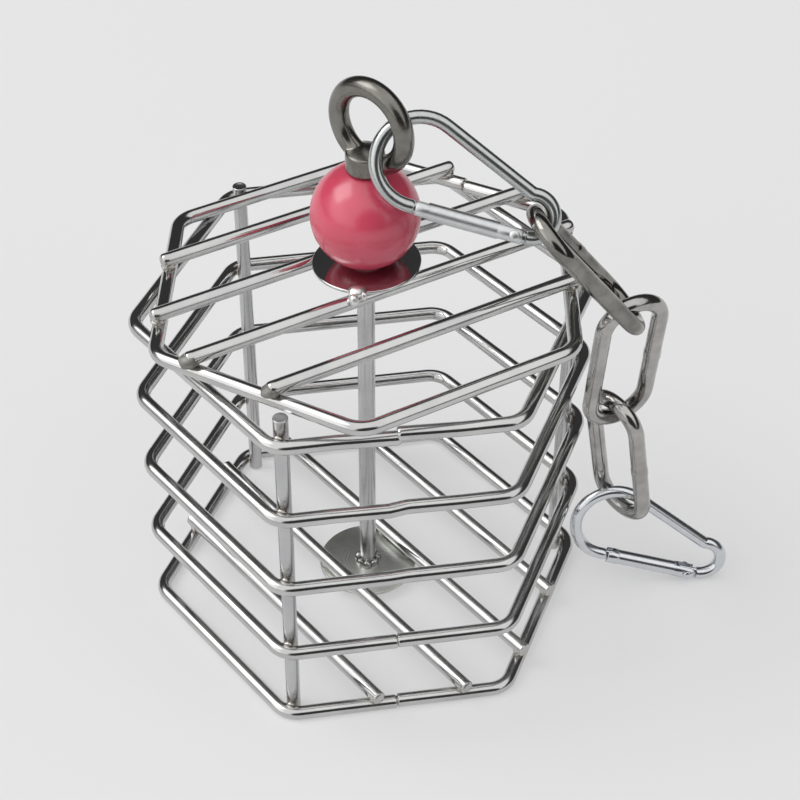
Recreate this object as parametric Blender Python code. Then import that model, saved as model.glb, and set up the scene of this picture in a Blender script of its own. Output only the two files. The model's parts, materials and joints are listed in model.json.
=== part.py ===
"""Bird foraging basket: a hexagonal basket of stainless wire with a loose wire lid, a bead and an
eye nut on a centre rod, and a chain with a snap hook at each end. Metres, +Z up, the basket's axis
on Z and its lowest ring on Z = 0."""
import math

import bmesh
import bpy
from mathutils import Matrix, Vector

# Basket and lid, all of one round wire
WIRE = 0.003
ACROSS_FLATS = 0.090            # centre line to centre line of opposite sides
BEND_RADIUS = 0.006             # of a ring's corners, on the centre line
RING_COUNT = 5
RING_PITCH = 0.021
CORNER_ROD_PROUD = 0.0036       # corner rods above the top ring, where they locate the lid
GRID_WIRE_COUNT = 4             # parallel wires of the floor, and of the lid
LID_ACROSS_FLATS = 0.0886
LID_TURN = math.radians(20.0)   # the lid lies turned, propped on two corner rods
LID_SHIFT = 0.0006              # and pushed across its hole's play, off the third rod

# Centre rod and what is threaded on it
SPINDLE_DIAMETER = 0.004
PLATE_DIAMETER = 0.024
PLATE_THICKNESS = 0.0008
LID_HOLE_DIAMETER = 0.006
BEAD_DIAMETER = 0.024
BEAD_HOLE_DIAMETER = 0.0048
EYE_OUTER_DIAMETER = 0.022
EYE_TUBE_DIAMETER = 0.0044
COLLAR_DIAMETER = 0.0096
COLLAR_HEIGHT = 0.0030
BOSS_TOP_DIAMETER = 0.0062
BOSS_IN_EYE = 0.0016            # boss above the inner side of the eye's foot, before the eye is cleared
EYE_FOOT_WEB = 0.0008           # metal left on the inner side of the eye's foot
EYE_ABOVE_COLLAR = 0.0081       # eye's centre above the collar's top edge
EYE_BORE_DEPTH = 0.0042
EYE_HEADING = math.radians(-49.0)
EYE_OFFSET = 0.0017             # ring off the bore's axis, as cast

# Chain
LINK_WIRE = 0.004
LINK_INNER_LENGTH = 0.034
LINK_INNER_WIDTH = 0.010

# Snap hooks
HOOK_WIRE = 0.003
HOOK_LENGTH = 0.0425
HOOK_WIDE_END = 0.0215
HOOK_NARROW_END = 0.0122
HOOK_SHOULDER = 0.0008          # narrow loop stands out from the straight spine
SHOULDER_RADIUS = 0.0020        # of the reverse bend there, on the centre line
NOSE_LENGTH = 0.0012            # straight wire past the wide bow
TONGUE_THICKNESS = 0.0014       # flattened ends of the hook wire, inside the forked gate
TONGUE_WIDTH = 0.0026
TONGUE_ROOT = 0.0008            # sunk in the round wire that carries it
NOSE_TONGUE_LENGTH = 0.0022
TAIL_TONGUE_LENGTH = 0.0046
GATE_DIAMETER = 0.0037
GATE_BORE_DIAMETER = 0.0021     # hollow for the spring
GATE_BORE_LENGTH = 0.0115
PIN_DIAMETER = 0.0012
PIN_HEAD_DIAMETER = 0.0022
PIN_HEAD_HEIGHT = 0.0005
PIN_FROM_BOW = 0.0026           # gate pin, back from the narrow bow
SPRING_WIRE = 0.00032
SPRING_DIAMETER = 0.0014        # on the spring's centre line
SPRING_LENGTH = 0.0055
SPRING_TURNS = 9

# Clearances
FIT_GAP = 0.0003                # between pieces that are welded or seated on each other
HANG_GAP = 0.00055              # between pieces of the chain that hang on each other
FORK_GAP = 0.0003               # each side of a tongue, in its fork
PIN_GAP = 0.00025               # round the gate pin
GATE_HEEL_GAP = 0.0009          # lets the gate's heel turn clear of the narrow bow
CHAIN_OFF_CORNER = 0.0071       # second link hangs this far outside the basket's corner circle

# Where the hooks and the chain lie: a heading turns about Z, a slope points below the horizontal
EYE_GRIP = math.radians(-27.3)          # place on the eye that the upper hook holds, from its side
EYE_IN_BOW = math.radians(187.9)        # place of the eye in the wide bow, from the hook's axis
EYE_OFF_BOW = 0.00436                   # eye's centre line from the bow's centre
UPPER_HOOK_HEADING = math.radians(-23.1)
UPPER_HOOK_SLOPE = math.radians(21.7)
UPPER_HOOK_ROLL = math.radians(56.3)
LINK_IN_NARROW_BOW = math.radians(-15.7)
LINK_HEADINGS = [math.radians(a) for a in (4.2, 91.1, 21.9)]
HANGING_LINK_SLOPES = [math.radians(a) for a in (80.8, 79.6)]
LINK_ROLLS = [math.radians(a) for a in (-1.4, -13.2, -8.8)]
LOWER_HOOK_HEADING = math.radians(-11.0)
LOWER_HOOK_SLOPE = math.radians(26.5)
LOWER_HOOK_ROLL = math.radians(78.1)
LINK_IN_WIDE_BOW = math.radians(91.3)

# Facets
WIRE_BEVEL_STEPS = 2            # bevel resolution of a wire: eight sides
EYE_BEVEL_STEPS = 3
SPRING_BEVEL_STEPS = 1
BEND_STEPS = 5
SHOULDER_STEPS = 3
BOW_STEPS = 10
TURN_STEPS = 32
PIN_STEPS = 12
BEAD_STEPS = 12
SPRING_STEPS = 8
SHARP_ANGLE = math.radians(40.0)
MERGE_DISTANCE = WIRE / 10000

# Derived places
SQRT3 = math.sqrt(3.0)
BODY_RADIUS = ACROSS_FLATS / SQRT3
LID_RADIUS = LID_ACROSS_FLATS / SQRT3
BOTTOM_RING_Z = WIRE / 2
TOP_RING_Z = BOTTOM_RING_Z + (RING_COUNT - 1) * RING_PITCH
WIRE_STEP = WIRE + FIT_GAP
CORNER_BEND_INSET = BEND_RADIUS * (2 / SQRT3 - 1)
CORNER_ROD_RADIUS = BODY_RADIUS - CORNER_BEND_INSET - WIRE_STEP
CORNER_ROD_TOP = TOP_RING_Z + WIRE / 2 + CORNER_ROD_PROUD
CORNER_RODS = {
    "right_corner_rod": 0.0,
    "rear_corner_rod": math.radians(120.0),
    "front_corner_rod": math.radians(240.0),
}
FLOOR_WIRE_Z = BOTTOM_RING_Z + WIRE_STEP
FLOOR_PLATE_TOP = FLOOR_WIRE_Z - WIRE / 2 - FIT_GAP
FLOOR_WIRE_ANGLE = math.radians(-60.0)

# Lid seat: two rods lift one side, and the other side lies on the top ring
LID_HIGH_SIDE = math.radians(300.0)
LID_ON_RODS_Z = CORNER_ROD_TOP + FIT_GAP + WIRE / 2
LID_ON_RING_Z = TOP_RING_Z + WIRE_STEP
RODS_ALONG = CORNER_ROD_RADIUS * math.cos(math.radians(60.0))
RING_ALONG = (ACROSS_FLATS / 2 / math.cos((math.radians(60.0) - LID_TURN) / 2)
              * math.cos(LID_TURN / 2))
LID_TILT = math.atan2(LID_ON_RODS_Z - LID_ON_RING_Z, RODS_ALONG + RING_ALONG)
LID_Z = LID_ON_RING_Z + RING_ALONG * math.tan(LID_TILT)
LID_PLATE_BOTTOM = WIRE_STEP + WIRE / 2 + FIT_GAP

# Stack on the centre rod
BEAD_RIM = math.sqrt((BEAD_DIAMETER / 2) ** 2 - (BEAD_HOLE_DIAMETER / 2) ** 2)
BEAD_Z = LID_Z + (LID_PLATE_BOTTOM + PLATE_THICKNESS) / math.cos(LID_TILT) + FIT_GAP + BEAD_RIM
COLLAR_Z = BEAD_Z + BEAD_RIM + FIT_GAP
EYE_RADIUS = (EYE_OUTER_DIAMETER - EYE_TUBE_DIAMETER) / 2
EYE_Z = COLLAR_Z + COLLAR_HEIGHT + EYE_ABOVE_COLLAR
SPINDLE_TOP = COLLAR_Z + EYE_BORE_DEPTH - FIT_GAP

# Chain and hook shapes on their centre lines
LINK_BOW = (LINK_INNER_WIDTH + LINK_WIRE) / 2
LINK_REACH = LINK_INNER_LENGTH + LINK_WIRE
LINK_ON_LINK = LINK_WIRE + HANG_GAP
LINK_ON_HOOK = (LINK_WIRE + HOOK_WIRE) / 2 + HANG_GAP
HOOK_WIDE_BOW = (HOOK_WIDE_END - HOOK_WIRE) / 2
HOOK_NARROW_BOW = (HOOK_NARROW_END - HOOK_WIRE) / 2
HOOK_CENTRES = HOOK_LENGTH - HOOK_WIRE - HOOK_WIDE_BOW - HOOK_NARROW_BOW
HOOK_TAPER = math.asin((HOOK_WIDE_BOW - HOOK_NARROW_BOW) / HOOK_CENTRES)
SPINE_TAPER = math.asin((HOOK_WIDE_BOW - HOOK_NARROW_BOW + HOOK_SHOULDER) / HOOK_CENTRES)
GATE_LINE = Vector((math.cos(HOOK_TAPER), math.sin(HOOK_TAPER), 0.0))
GATE_SIDE = Vector((math.sin(HOOK_TAPER), -math.cos(HOOK_TAPER), 0.0))
GATE_START = GATE_SIDE * HOOK_WIDE_BOW + GATE_LINE * (NOSE_LENGTH + FIT_GAP)
NARROW_CENTRE = Vector((HOOK_CENTRES, 0.0, 0.0))
TAIL_START = NARROW_CENTRE + GATE_SIDE * HOOK_NARROW_BOW
GATE_END = TAIL_START - GATE_LINE * GATE_HEEL_GAP
PIN_PLACE = TAIL_START - GATE_LINE * PIN_FROM_BOW


def clear_scene():
    """Remove whatever the open file holds."""
    for item in list(bpy.data.objects):
        bpy.data.objects.remove(item, do_unlink=True)


def make_material(name, colour, metallic, roughness):
    """A Principled material of one colour."""
    finish = bpy.data.materials.new(name)
    finish.use_nodes = True
    shader = finish.node_tree.nodes["Principled BSDF"]
    shader.inputs["Base Color"].default_value = (*colour, 1.0)
    shader.inputs["Metallic"].default_value = metallic
    shader.inputs["Roughness"].default_value = roughness
    return finish


def polar(radius, angle, z=0.0):
    """Point at a radius and an angle about Z."""
    return Vector((radius * math.cos(angle), radius * math.sin(angle), z))


def arc(centre, radius, start, end, steps):
    """Points along an arc in a piece's own XY plane."""
    return [centre + polar(radius, start + (end - start) * i / steps) for i in range(steps + 1)]


def pointing(heading, slope):
    """Unit vector with a heading about Z and a slope below the horizontal."""
    return Vector((math.cos(heading) * math.cos(slope), math.sin(heading) * math.cos(slope), -math.sin(slope)))


def frame_along(origin, along, roll):
    """Placing matrix: X along a direction, Y level and then rolled about it."""
    level = Vector((0.0, 0.0, 1.0)).cross(along).normalized()
    across = Matrix.Rotation(roll, 3, along) @ level
    normal = along.cross(across)
    turn = Matrix((along, across, normal)).transposed()
    return Matrix.Translation(origin) @ turn.to_4x4()


def add_object(name, data, finish, matrix=None):
    """Link an object with its material and its place."""
    item = bpy.data.objects.new(name, data)
    data.materials.append(finish)
    bpy.context.scene.collection.objects.link(item)
    item.matrix_world = matrix if matrix else Matrix.Identity(4)
    return item


def wire(name, points, diameter, finish, matrix=None, closed=False, bevel_steps=WIRE_BEVEL_STEPS):
    """Round wire along a line of points, with flat cut ends unless it closes on itself."""
    curve = bpy.data.curves.new(name, "CURVE")
    curve.dimensions = "3D"
    curve.bevel_depth = diameter / 2
    curve.bevel_resolution = bevel_steps
    curve.use_fill_caps = True
    spline = curve.splines.new("POLY")
    spline.points.add(len(points) - 1)
    for place, point in zip(spline.points, points):
        place.co = (*point, 1.0)
    spline.use_cyclic_u = closed
    spline.use_smooth = True
    return add_object(name, curve, finish, matrix)


def turned(name, profile, finish, matrix=None, steps=TURN_STEPS, closed=False):
    """Solid of revolution about Z from a profile of (radius, height) pairs, run top to bottom."""
    shape = bmesh.new()
    verts = [shape.verts.new((radius, 0.0, height)) for radius, height in profile]
    edges = [shape.edges.new(pair) for pair in zip(verts, verts[1:])]
    if closed:
        edges.append(shape.edges.new((verts[-1], verts[0])))
    bmesh.ops.spin(shape, geom=verts + edges, cent=(0, 0, 0), axis=(0, 0, 1), angle=math.tau,
                   steps=steps, use_merge=True)
    bmesh.ops.remove_doubles(shape, verts=shape.verts, dist=MERGE_DISTANCE)
    bmesh.ops.recalc_face_normals(shape, faces=shape.faces)
    return finish_mesh(name, shape, finish, matrix)


def block(name, size, centre, finish, matrix):
    """Rectangular bar, given by its size and its centre in its own frame."""
    shape = bmesh.new()
    bmesh.ops.create_cube(shape, size=1.0)
    bmesh.ops.scale(shape, vec=size, verts=shape.verts)
    bmesh.ops.translate(shape, vec=centre, verts=shape.verts)
    return finish_mesh(name, shape, finish, matrix)


def drill(name, radius, top, bottom, finish, matrix, steps=PIN_STEPS):
    """Round cutter along its own Z."""
    return turned(name, [(0, top), (radius, top), (radius, bottom), (0, bottom)], finish, matrix, steps)


def finish_mesh(name, shape, finish, matrix):
    """Turn a bmesh into a smooth-shaded object with sharp edges kept."""
    mesh = bpy.data.meshes.new(name)
    shape.to_mesh(mesh)
    shape.free()
    mesh.shade_smooth()
    mesh.set_sharp_from_angle(angle=SHARP_ANGLE)
    return add_object(name, mesh, finish, matrix)


def combine(target, tool, operation):
    """Boolean of one object with another, which then only guides it."""
    tool.hide_render = True
    tool.display_type = "WIRE"
    step = target.modifiers.new(tool.name, "BOOLEAN")
    step.operation = operation
    step.solver = "EXACT"
    step.object = tool


def hexagon(radius):
    """Centre line of a bent ring with its corners on multiples of 60 degrees."""
    points = []
    for corner in range(6):
        middle = math.radians(60.0 * corner)
        centre = polar(radius - BEND_RADIUS * 2 / SQRT3, middle)
        half = math.radians(30.0)
        points += arc(centre, BEND_RADIUS, middle - half, middle + half, BEND_STEPS)
    return points


def grid_wires(name, across_flats, z, angle, finish, matrix):
    """Parallel straight wires across a ring, cut flush with its outer edge."""
    spacing = across_flats / (GRID_WIRE_COUNT + 1)
    for i in range(GRID_WIRE_COUNT):
        offset = (i - (GRID_WIRE_COUNT - 1) / 2) * spacing
        half = (across_flats + WIRE) / SQRT3 - abs(offset) / SQRT3
        ends = [Vector((side * half, offset, z)) for side in (-1, 1)]
        turn = Matrix.Rotation(angle, 4, "Z")
        wire(f"{name}_{i + 1}", ends, WIRE, finish, matrix @ turn)


def build_basket(steel):
    """Rings, corner rods, floor wires and the plate that carries the centre rod."""
    for i in range(RING_COUNT):
        place = Matrix.Translation((0, 0, TOP_RING_Z - i * RING_PITCH))
        wire(f"basket_ring_{i + 1}", hexagon(BODY_RADIUS), WIRE, steel, place, closed=True)
    for name, angle in CORNER_RODS.items():
        ends = [polar(CORNER_ROD_RADIUS, angle, FIT_GAP), polar(CORNER_ROD_RADIUS, angle, CORNER_ROD_TOP)]
        wire(name, ends, WIRE, steel)
    grid_wires("floor_wire", ACROSS_FLATS, FLOOR_WIRE_Z, FLOOR_WIRE_ANGLE, steel, Matrix.Identity(4))
    edge = PLATE_DIAMETER / 2
    turned("floor_plate", [(0, 0), (edge, 0), (edge, -PLATE_THICKNESS), (0, -PLATE_THICKNESS)], steel,
           Matrix.Translation((0, 0, FLOOR_PLATE_TOP)))
    wire("centre_rod", [Vector((0, 0, FLOOR_PLATE_TOP + FIT_GAP)), Vector((0, 0, SPINDLE_TOP))],
         SPINDLE_DIAMETER, steel)


def build_lid(steel):
    """Ring, wires and plate of the lid, in the tilted frame in which it lies."""
    tilt_line = polar(1.0, LID_HIGH_SIDE - math.radians(90.0))
    frame = (Matrix.Translation(polar(LID_SHIFT, LID_HIGH_SIDE, LID_Z))
             @ Matrix.Rotation(LID_TILT, 4, tilt_line) @ Matrix.Rotation(LID_TURN, 4, "Z"))
    wire("lid_ring", hexagon(LID_RADIUS), WIRE, steel, frame, closed=True)
    grid_wires("lid_wire", LID_ACROSS_FLATS, WIRE_STEP, 0.0, steel, frame)
    top = PLATE_THICKNESS
    edge = PLATE_DIAMETER / 2
    hole = LID_HOLE_DIAMETER / 2
    turned("lid_plate", [(hole, top), (edge, top), (edge, 0), (hole, 0)], steel,
           frame @ Matrix.Translation((0, 0, LID_PLATE_BOTTOM)), closed=True)


def build_bead(plastic):
    """Drilled ball that turns on the centre rod."""
    radius = BEAD_DIAMETER / 2
    start = math.asin(BEAD_HOLE_DIAMETER / BEAD_DIAMETER)
    angles = [start + (math.pi - 2 * start) * i / BEAD_STEPS for i in range(BEAD_STEPS + 1)]
    profile = [(radius * math.sin(a), radius * math.cos(a)) for a in angles]
    turned("bead", profile, plastic, Matrix.Translation((0, 0, BEAD_Z)), closed=True)


def on_eye(angle):
    """Point on the eye's centre line, by its angle above the level side."""
    out = EYE_OFFSET + EYE_RADIUS * math.cos(angle)
    return polar(out, EYE_HEADING, EYE_Z + EYE_RADIUS * math.sin(angle))


def build_eye_nut(steel):
    """Cast ring on a drilled collar, screwed on the centre rod."""
    place = Matrix.Translation((0, 0, COLLAR_Z))
    loop = [on_eye(math.tau * i / TURN_STEPS) - Vector((0, 0, COLLAR_Z)) for i in range(TURN_STEPS)]
    ring = wire("eye_nut", loop, EYE_TUBE_DIAMETER, steel, place, closed=True, bevel_steps=EYE_BEVEL_STEPS)
    boss_top = EYE_Z - EYE_RADIUS + EYE_TUBE_DIAMETER / 2 + BOSS_IN_EYE - COLLAR_Z
    edge = COLLAR_DIAMETER / 2
    profile = [(0, boss_top), (BOSS_TOP_DIAMETER / 2, boss_top), (edge, COLLAR_HEIGHT), (edge, 0), (0, 0)]
    collar = turned("eye_collar_guide", profile, steel, place)
    bore = SPINDLE_DIAMETER / 2 + FIT_GAP
    bored = drill("eye_bore_guide", bore, EYE_BORE_DEPTH, -edge, steel, place, TURN_STEPS)
    clear = EYE_RADIUS - EYE_TUBE_DIAMETER / 2 - EYE_FOOT_WEB
    through_eye = Matrix.Rotation(EYE_HEADING, 4, "Z") @ Matrix.Rotation(math.radians(90.0), 4, "X")
    eye_centre = Matrix.Translation(polar(EYE_OFFSET, EYE_HEADING, EYE_Z))
    saddle = drill("eye_saddle_guide", clear, edge, -edge, steel, eye_centre @ through_eye, TURN_STEPS)
    mesh_with_tools(ring, [(collar, "UNION"), (saddle, "DIFFERENCE"), (bored, "DIFFERENCE")])


def mesh_with_tools(item, tools):
    """Make a curve object a mesh object of the same name and give it its Boolean tools."""
    mesh = bpy.data.meshes.new_from_object(item.evaluated_get(bpy.context.evaluated_depsgraph_get()))
    name = item.name
    place = item.matrix_world.copy()
    finish = item.data.materials[0]
    bpy.data.objects.remove(item, do_unlink=True)
    mesh.name = name
    mesh.materials.clear()
    solid = add_object(name, mesh, finish, place)
    for tool, operation in tools:
        combine(solid, tool, operation)
    return solid


def link_shape():
    """Centre line of a welded link that hangs along X from the wire at its origin."""
    top = LINK_BOW
    bottom = LINK_REACH - LINK_BOW
    right = math.radians(90.0)
    bows = arc(Vector((top, 0, 0)), LINK_BOW, right, 3 * right, BOW_STEPS)
    return bows + arc(Vector((bottom, 0, 0)), LINK_BOW, -right, right, BOW_STEPS)


def hook_shape():
    """Centre line of a hook's wire from its nose round both bows, about the wide bow's centre."""
    gate_normal = HOOK_TAPER - math.radians(90.0)
    spine_normal = math.radians(90.0) - SPINE_TAPER
    nose = GATE_SIDE * HOOK_WIDE_BOW + GATE_LINE * NOSE_LENGTH
    wide = arc(Vector(), HOOK_WIDE_BOW, gate_normal, spine_normal - math.tau, BOW_STEPS * 2)
    apart = HOOK_NARROW_BOW + SHOULDER_RADIUS
    shoulder_turn = math.acos((apart - HOOK_SHOULDER) / apart)
    shoulder_normal = spine_normal + shoulder_turn
    shoulder = arc(NARROW_CENTRE + polar(apart, shoulder_normal), SHOULDER_RADIUS, spine_normal + math.pi,
                   shoulder_normal + math.pi, SHOULDER_STEPS)
    narrow = arc(NARROW_CENTRE, HOOK_NARROW_BOW, shoulder_normal, gate_normal, BOW_STEPS)
    return [nose] + wide + shoulder + narrow[1:]


def build_hook(name, place, seat, zinc, steel):
    """Snap hook with its forked gate, gate pin and gate spring; seat is where it hangs, in its frame."""
    frame = place @ Matrix.Translation(-seat)
    along_gate = Matrix.Rotation(HOOK_TAPER, 4, "Z")
    body = wire(f"{name}_body", [point - seat for point in hook_shape()], HOOK_WIRE, zinc, place)
    tools = []
    for end, start, length in (("nose", GATE_START - GATE_LINE * FIT_GAP, NOSE_TONGUE_LENGTH),
                               ("tail", TAIL_START, -TAIL_TONGUE_LENGTH)):
        root = math.copysign(TONGUE_ROOT, length)
        centre = Vector(((length - root) / 2, 0, 0))
        size = (abs(length + root), TONGUE_WIDTH, TONGUE_THICKNESS)
        tongue = block(f"{name}_{end}_guide", size, centre, zinc,
                       frame @ Matrix.Translation(start) @ along_gate)
        tools.append((tongue, "UNION"))
    pin_frame = frame @ Matrix.Translation(PIN_PLACE)
    hole = PIN_DIAMETER / 2 + PIN_GAP
    bored = drill(f"{name}_pin_hole_guide", hole, GATE_DIAMETER, -GATE_DIAMETER, zinc, pin_frame)
    tools.append((bored, "DIFFERENCE"))
    mesh_with_tools(body, tools)
    build_gate(name, frame, along_gate, zinc)
    shank = PIN_DIAMETER / 2
    head = PIN_HEAD_DIAMETER / 2
    under = GATE_DIAMETER / 2 + FIT_GAP
    over = under + PIN_HEAD_HEIGHT
    turned(f"{name}_gate_pin", [(0, over), (head, over), (head, under), (shank, under), (shank, -under),
                                (head, -under), (head, -over), (0, -over)], steel, pin_frame, PIN_STEPS)
    coil = [Vector((SPRING_LENGTH * i / (SPRING_TURNS * SPRING_STEPS), 0, 0))
            + SPRING_DIAMETER / 2 * Vector((0, math.cos(math.tau * i / SPRING_STEPS),
                                            math.sin(math.tau * i / SPRING_STEPS)))
            for i in range(SPRING_TURNS * SPRING_STEPS + 1)]
    seat_of_spring = TAIL_START - GATE_LINE * (TAIL_TONGUE_LENGTH + SPRING_WIRE + FIT_GAP + SPRING_LENGTH)
    wire(f"{name}_gate_spring", coil, SPRING_WIRE, steel,
         frame @ Matrix.Translation(seat_of_spring) @ along_gate, bevel_steps=SPRING_BEVEL_STEPS)


def build_gate(name, frame, along_gate, zinc):
    """Round gate, forked over both tongues, bored for its spring; its origin is on its pin."""
    length = (GATE_END - GATE_START).length
    gate_frame = frame @ Matrix.Translation(PIN_PLACE) @ along_gate
    start = -(PIN_PLACE - GATE_START).length
    end = start + length
    gate = wire(f"{name}_gate", [Vector((start, 0, 0)), Vector((end, 0, 0))], GATE_DIAMETER, zinc,
                gate_frame)
    tools = []
    fork = TONGUE_THICKNESS + 2 * FORK_GAP
    nose_depth = NOSE_TONGUE_LENGTH + FIT_GAP
    tail_depth = TAIL_TONGUE_LENGTH + FIT_GAP
    for side, depth, place in (("nose", nose_depth, start), ("tail", -tail_depth, end)):
        margin = math.copysign(HOOK_WIRE, depth)
        slot = block(f"{name}_{side}_fork_guide", (abs(depth + margin), 2 * GATE_DIAMETER, fork),
                     Vector((place + (depth - margin) / 2, 0, 0)), zinc, gate_frame)
        tools.append((slot, "DIFFERENCE"))
    bore = wire(f"{name}_bore_guide", [Vector((end - GATE_BORE_LENGTH, 0, 0)), Vector((end + HOOK_WIRE, 0, 0))],
                GATE_BORE_DIAMETER, zinc, gate_frame)
    tools.append((mesh_with_tools(bore, []), "DIFFERENCE"))
    hole = PIN_DIAMETER / 2 + PIN_GAP
    bored = drill(f"{name}_gate_hole_guide", hole, GATE_DIAMETER, -GATE_DIAMETER, zinc, gate_frame)
    tools.append((bored, "DIFFERENCE"))
    mesh_with_tools(gate, tools)


def first_link_slope(start, length):
    """Slope at which the first link reaches out to the circle on which the chain hangs."""
    level = Vector((start.x, start.y, 0.0))
    forward = level.dot(polar(1.0, LINK_HEADINGS[0]))
    circle = BODY_RADIUS + CHAIN_OFF_CORNER
    return math.acos((math.sqrt(forward ** 2 - level.length_squared + circle ** 2) - forward) / length)


def build_chain(zinc, steel):
    """Hooks and links, each hung on the piece before it."""
    along = pointing(UPPER_HOOK_HEADING, UPPER_HOOK_SLOPE)
    place = frame_along(on_eye(EYE_GRIP), along, UPPER_HOOK_ROLL)
    seat = polar(EYE_OFF_BOW, EYE_IN_BOW)
    build_hook("upper_hook", place, seat, zinc, steel)
    hung_on = place @ (NARROW_CENTRE + polar(HOOK_NARROW_BOW, LINK_IN_NARROW_BOW) - seat)
    lift = LINK_ON_HOOK
    slopes = [first_link_slope(hung_on, LINK_REACH - lift)] + HANGING_LINK_SLOPES
    for i, (heading, slope, roll) in enumerate(zip(LINK_HEADINGS, slopes, LINK_ROLLS)):
        along = pointing(heading, slope)
        place = frame_along(hung_on, along, roll)
        points = [point - Vector((lift, 0, 0)) for point in link_shape()]
        wire(f"chain_link_{i + 1}", points, LINK_WIRE, steel, place, closed=True)
        hung_on = place @ Vector((LINK_REACH - lift, 0, 0))
        lift = LINK_ON_LINK
    along = pointing(LOWER_HOOK_HEADING, LOWER_HOOK_SLOPE)
    place = frame_along(hung_on, along, LOWER_HOOK_ROLL)
    seat = polar(HOOK_WIDE_BOW - LINK_ON_HOOK, LINK_IN_WIDE_BOW)
    build_hook("lower_hook", place, seat, zinc, steel)


def build():
    """The whole assembly."""
    clear_scene()
    basket_steel = make_material("polished_wire", (0.62, 0.62, 0.61), 1.0, 0.18)
    chain_steel = make_material("chain_steel", (0.42, 0.40, 0.37), 1.0, 0.25)
    bead_plastic = make_material("bead_plastic", (0.67, 0.10, 0.15), 0.0, 0.2)
    hook_zinc = make_material("hook_zinc", (0.70, 0.72, 0.75), 1.0, 0.22)
    build_basket(basket_steel)
    build_lid(basket_steel)
    build_bead(bead_plastic)
    build_eye_nut(chain_steel)
    build_chain(hook_zinc, chain_steel)


build()
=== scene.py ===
"""Looks of the bird foraging basket: drawn and welded stainless wire, a moulded bead, a cast eye nut,
a welded chain and two zinc plated snap hooks, on a pale floor."""

import json
import math

import bmesh
import bpy
import numpy as np
from mathutils import Matrix, Vector, noise


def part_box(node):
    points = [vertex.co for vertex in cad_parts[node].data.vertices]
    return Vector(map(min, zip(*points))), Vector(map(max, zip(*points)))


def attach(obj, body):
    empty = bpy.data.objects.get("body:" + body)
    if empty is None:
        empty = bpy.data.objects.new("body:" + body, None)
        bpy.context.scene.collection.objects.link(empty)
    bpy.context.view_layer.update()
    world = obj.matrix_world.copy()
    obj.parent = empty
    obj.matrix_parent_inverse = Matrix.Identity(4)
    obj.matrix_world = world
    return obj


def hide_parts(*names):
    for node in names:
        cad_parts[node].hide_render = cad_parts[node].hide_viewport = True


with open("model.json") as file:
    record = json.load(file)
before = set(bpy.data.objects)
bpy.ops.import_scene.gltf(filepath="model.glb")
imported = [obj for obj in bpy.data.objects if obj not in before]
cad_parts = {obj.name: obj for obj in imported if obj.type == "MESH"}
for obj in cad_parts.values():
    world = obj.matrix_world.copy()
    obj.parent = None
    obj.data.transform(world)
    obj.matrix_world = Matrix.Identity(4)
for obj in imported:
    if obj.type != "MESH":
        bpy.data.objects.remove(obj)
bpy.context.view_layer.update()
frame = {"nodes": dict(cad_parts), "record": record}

# Basket and lid wire, metres
WIRE = 0.003
DRAWN_WIRE = 0.00325            # thicker here than in the solids: welded wires are pressed into each other
ACROSS_FLATS = 0.090
LID_ACROSS_FLATS = 0.0886
RING_CORNERS = 6
BEND_RADIUS = 0.006
GRID_WIRE_COUNT = 4
MIDDLE_WIRES = slice(1, 3)      # the two that hold a plate
FLOOR_WIRE_TURN = math.radians(-60.0)
WELD_GAP = 0.0003               # between the wires that a weld bridges
CORNER_ROD_ANGLES = {"right_corner_rod": 0.0, "rear_corner_rod": math.radians(120.0),
                     "front_corner_rod": math.radians(240.0)}

# Butt welds of the rings, top to bottom: how far the two ends miss each other, and the gap left open
RING_JOINTS = ((0.0012, -0.0012), (0.0008, 0.0), (0.0003, 0.0), (0.0002, 0.00015), (0.0003, 0.0003))
LID_JOINT = (0.0005, 0.0003)
LID_JOINT_TURN = math.radians(120.0)    # the lid's joint is on the far side
JOINT_RUN = 0.014                       # length over which a misfit fades out
JOINT_BLEND = 0.002                     # length of the step where the ends are fused

# Centre rod and what is threaded on it
SPINDLE_DIAMETER = 0.004
PLATE_DIAMETER = 0.024
PLATE_THICKNESS = 0.0008
LID_HOLE_DIAMETER = 0.006
BEAD_DIAMETER = 0.024
BEAD_HOLE_DIAMETER = 0.0048
EYE_OUTER_DIAMETER = 0.022
EYE_TUBE_DIAMETER = 0.0044
EYE_BORE_DEPTH = 0.0042
BORE_GAP = 0.00045              # round the rod, before the casting is blended
ROD_END_GAP = 0.0004            # the rod ends this much short of its full height
EYE_HEADING = math.radians(-49.0)
EYE_OFFSET = 0.0017             # ring off the bore's axis, as cast
COLLAR_DIAMETER = 0.0085
COLLAR_HEIGHT = 0.0040
COLLAR_SKIRT = 0.0005           # its edge reaches down round the bead
EYE_FOOT_WEB = 0.0008           # left inside the eye, above its foot
DOME_STEPS = 12                 # corners of the collar's domed top, and how full it is
DOME_FULLNESS = 1.4
CAST_GRAIN = 0.00018            # fineness to which the casting is blended, and how often it is smoothed
CAST_SMOOTHING = 26

# Chain
LINK_WIRE = 0.004
DRAWN_LINK_WIRE = 0.0038        # thinner here than in the solids, so that hanging links stay clear
LINK_INNER_LENGTH = 0.034
LINK_INNER_WIDTH = 0.010
LINK_WELD_SHARE = 0.16          # part of a leg that its butt weld takes up
LINK_WELD_SWELLS = (1.02, 1.07, 1.03, 1.07, 1.02, 1.0)  # thickness along the weld, in wire diameters

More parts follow.
